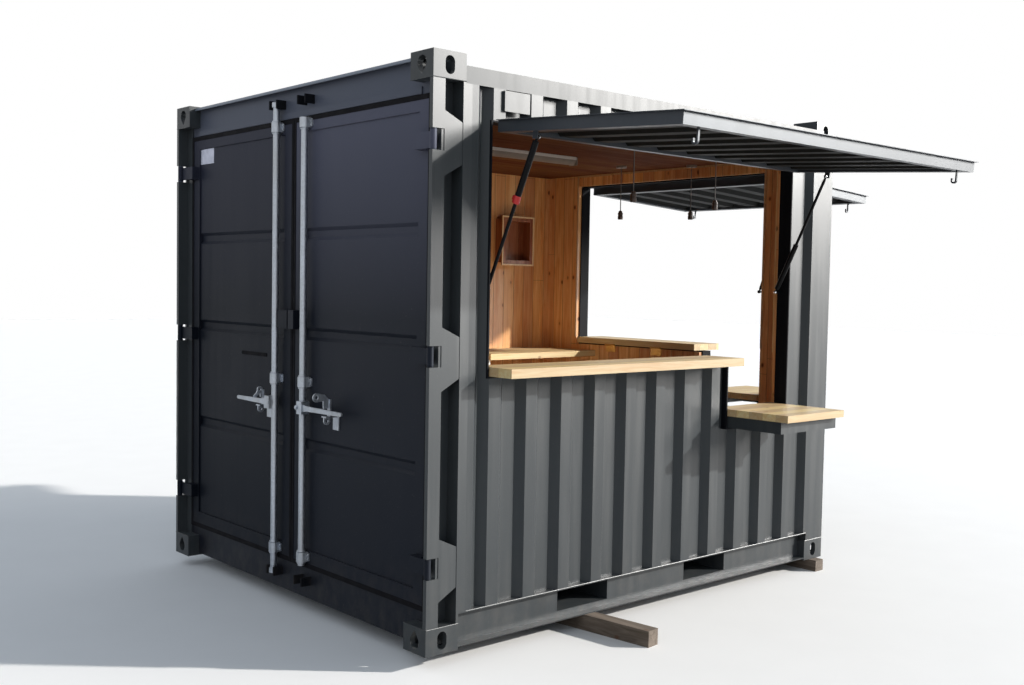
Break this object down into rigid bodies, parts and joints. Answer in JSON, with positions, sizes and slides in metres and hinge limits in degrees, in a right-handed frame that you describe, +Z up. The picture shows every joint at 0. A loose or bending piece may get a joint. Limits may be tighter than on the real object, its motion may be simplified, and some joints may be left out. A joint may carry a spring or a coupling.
{
  "type": "container kiosk",
  "caption": "Steel shipping container kiosk with two raised servery hatches on struts, folding timber counters, double doors and a pine lining.",
  "frame": {"origin": "on the ground under the centre of the container's corner castings", "axes": "+X from the door end to the blind end, +Y from the servery front to the plain back, +Z up"},
  "size_m": [4.1502, 3.6027, 2.656],
  "materials": {
    "anthracite_paint": "satin anthracite grey paint on steel",
    "dark_frame_paint": "satin dark grey paint on flat steel",
    "galvanised_steel": "pale galvanised steel",
    "black_tube": "gloss black struts",
    "brass": "plain brass",
    "pine_boards": "clear varnished pine boards",
    "counter_timber": "oiled softwood slab",
    "grey_timber": "weathered sawn timber",
    "deck_plywood": "sealed plywood deck",
    "pale_ceiling": "pale washed ceiling boards",
    "white_board": "white faced board",
    "white_plastic": "white moulded plastic",
    "black_cord": "black sheathed flex",
    "black_holder": "black lampholders"
  },
  "bodies": {
    "shell": {"back_lining": "pine_boards", "back_wall": "anthracite_paint", "back_worktop": "counter_timber", "bar_keepers": "anthracite_paint", "batten_light": "white_plastic", "blind_end_posts": "anthracite_paint", "bottom_corner_castings": "anthracite_paint", "bottom_end_rails": "anthracite_paint", "bottom_side_rails": "anthracite_paint", "ceiling": "pale_ceiling", "counter_hinges": "brass", "cross_members": "anthracite_paint", "door_end_posts": "anthracite_paint", "end_lining": "pine_boards", "end_opening_frame": "dark_frame_paint", "end_wall_lower": "anthracite_paint", "end_wall_sides": "anthracite_paint", "end_wall_top": "anthracite_paint", "floor_deck": "deck_plywood", "fork_pockets": "anthracite_paint", "front_lining": "pine_boards", "front_opening_frame": "dark_frame_paint", "front_wall_lower": "anthracite_paint", "front_wall_sides": "anthracite_paint", "front_wall_top": "anthracite_paint", "lampholders": "black_holder", "low_shelves": "counter_timber", "pendant_cord_1": "black_cord", "pendant_cord_2": "black_cord", "pendant_cord_3": "black_cord", "pendant_cord_4": "black_cord", "pendant_roses": "white_plastic", "roof_end_plates": "anthracite_paint", "roof_panel": "anthracite_paint", "shelf_brackets": "dark_frame_paint", "timber_bearers": "grey_timber", "top_corner_castings": "anthracite_paint", "top_end_rails": "anthracite_paint", "top_side_rails": "anthracite_paint", "vent_covers": "anthracite_paint", "wall_niche": "pine_boards", "worktop_end_panel": "white_board"},
    "left_door": {"left_door": "anthracite_paint", "left_bar_guides": "galvanised_steel"},
    "right_door": {"right_door": "anthracite_paint", "right_bar_guides": "galvanised_steel"},
    "left_lock_bar": {"left_lock_bar": "galvanised_steel"},
    "right_lock_bar": {"right_lock_bar": "galvanised_steel"},
    "front_hatch": {"front_hatch_frame": "dark_frame_paint", "front_hatch_panel": "anthracite_paint"},
    "end_hatch": {"end_hatch_frame": "dark_frame_paint", "end_hatch_panel": "anthracite_paint"},
    "front_counter": {"front_counter": "counter_timber"},
    "end_counter": {"end_counter": "counter_timber"},
    "front_left_strut_upper": {"front_left_strut_upper": "black_tube"},
    "front_left_strut_lower": {"front_left_strut_lower": "black_tube"},
    "front_right_strut_upper": {"front_right_strut_upper": "black_tube"},
    "front_right_strut_lower": {"front_right_strut_lower": "black_tube"},
    "end_strut_upper": {"end_strut_upper": "black_tube"},
    "end_strut_lower": {"end_strut_lower": "black_tube"}
  },
  "joints": [
    {"name": "left_door_hinge", "type": "hinge", "parent": "shell", "child": "left_door", "pos_m": [-1.4795, 1.203, 1.36], "axis": [0, 0, -1], "range_deg": [0, 250]},
    {"name": "right_door_hinge", "type": "hinge", "parent": "shell", "child": "right_door", "pos_m": [-1.4795, -1.203, 1.36], "axis": [0, 0, 1], "range_deg": [0, 180]},
    {"name": "left_lock_bar_turn", "type": "hinge", "parent": "left_door", "child": "left_lock_bar", "pos_m": [-1.461, 0.1375, 1.045], "axis": [0, 0, 1], "range_deg": [0, 90]},
    {"name": "right_lock_bar_turn", "type": "hinge", "parent": "right_door", "child": "right_lock_bar", "pos_m": [-1.461, -0.1375, 1.045], "axis": [0, 0, -1], "range_deg": [0, 90]},
    {"name": "front_hatch_lift", "type": "hinge", "parent": "shell", "child": "front_hatch", "pos_m": [-0.04, -1.231, 2.395], "axis": [1, 0, 0], "range_deg": [0, 86.5]},
    {"name": "end_hatch_lift", "type": "hinge", "parent": "shell", "child": "end_hatch", "pos_m": [1.5075, 0, 2.395], "axis": [0, 1, 0], "range_deg": [0, 86.5]},
    {"name": "front_counter_fold", "type": "hinge", "parent": "shell", "child": "front_counter", "pos_m": [-0.334, -1.103, 1.263], "axis": [-1, 0, 0], "range_deg": [0, 90]},
    {"name": "end_counter_fold", "type": "hinge", "parent": "shell", "child": "end_counter", "pos_m": [1.3795, 0.251, 1.263], "axis": [0, -1, 0], "range_deg": [0, 90]},
    {"name": "front_left_strut_swing", "type": "hinge", "parent": "front_hatch", "child": "front_left_strut_upper", "pos_m": [-1.126, -1.466, 2.30098], "axis": [1, 0, 0], "range_deg": [-112.7, 0]},
    {"name": "front_left_strut_slide", "type": "slide", "parent": "front_left_strut_upper", "child": "front_left_strut_lower", "axis": [0, -0.4343, 0.9008], "range_m": [0, 0.218]},
    {"name": "front_right_strut_swing", "type": "hinge", "parent": "front_hatch", "child": "front_right_strut_upper", "pos_m": [1.046, -1.466, 2.30098], "axis": [1, 0, 0], "range_deg": [-112.7, 0]},
    {"name": "front_right_strut_slide", "type": "slide", "parent": "front_right_strut_upper", "child": "front_right_strut_lower", "axis": [0, -0.4343, 0.9008], "range_m": [0, 0.218]},
    {"name": "end_strut_swing", "type": "hinge", "parent": "end_hatch", "child": "end_strut_upper", "pos_m": [1.7425, -0.761, 2.30098], "axis": [0, 1, 0], "range_deg": [-112.7, 0]},
    {"name": "end_strut_slide", "type": "slide", "parent": "end_strut_upper", "child": "end_strut_lower", "axis": [0.4343, 0, 0.9008], "range_m": [0, 0.218]}
  ],
  "couplings": [
    {"joint": "front_left_strut_swing", "follows": "front_hatch_lift", "ratio": -1.3022},
    {"joint": "front_left_strut_slide", "follows": "front_hatch_lift", "m_per_rad": 0.14396},
    {"joint": "front_right_strut_swing", "follows": "front_hatch_lift", "ratio": -1.3022},
    {"joint": "front_right_strut_slide", "follows": "front_hatch_lift", "m_per_rad": 0.14396},
    {"joint": "end_strut_swing", "follows": "end_hatch_lift", "ratio": -1.3022},
    {"joint": "end_strut_slide", "follows": "end_hatch_lift", "m_per_rad": 0.14396}
  ]
}
